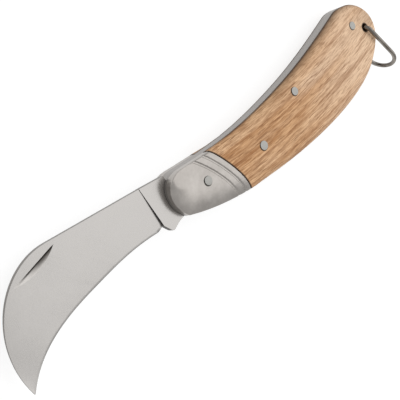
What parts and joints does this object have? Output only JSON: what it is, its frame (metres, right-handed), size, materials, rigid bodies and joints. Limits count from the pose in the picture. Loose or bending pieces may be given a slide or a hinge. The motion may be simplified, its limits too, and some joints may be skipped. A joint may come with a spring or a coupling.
{
  "type": "folding budding knife",
  "caption": "Folding budding and pruning knife with a hooked blade, wooden scales, steel bolsters and a wire lanyard ring, shown open.",
  "frame": {"origin": "centre of the open knife's bounding box, in the middle plane of the blade", "axes": "+X from the blade towards the end of the handle, +Y towards the back of the blade and handle (the edge looks towards -Y), +Z out of the side with the nail nick"},
  "size_m": [0.1711, 0.0485, 0.0126],
  "materials": {
    "blade_steel": "fine satin",
    "spring_steel": "cross-ground",
    "liner_steel": "satin",
    "bolster_steel": "satin, lightly tumbled",
    "ash_wood": "lightly oiled, open grain",
    "pin_steel": "satin",
    "ring_wire": "polished wire"
  },
  "bodies": {
    "handle": {"back_spring": "spring_steel", "top_liner": "liner_steel", "bottom_liner": "liner_steel", "top_bolster": "bolster_steel", "bottom_bolster": "bolster_steel", "top_scale": "ash_wood", "bottom_scale": "ash_wood", "pivot_pin": "pin_steel", "spring_pin": "pin_steel", "butt_pin": "pin_steel", "top_front_rivet": "pin_steel", "bottom_front_rivet": "pin_steel"},
    "blade": {"blade": "blade_steel"},
    "ring": {"lanyard_ring": "ring_wire"}
  },
  "joints": [
    {"name": "blade_fold", "type": "hinge", "parent": "handle", "child": "blade", "pos_m": [-0.01253, -0.00105, 0], "axis": [0, 0, 1], "range_deg": [0, 172], "deforming": ["back_spring"]},
    {"name": "ring_swing", "type": "hinge", "parent": "handle", "child": "ring", "pos_m": [0.07538, 0.01405, 0], "axis": [0, 0, 1], "range_deg": [-45, 165]}
  ]
}
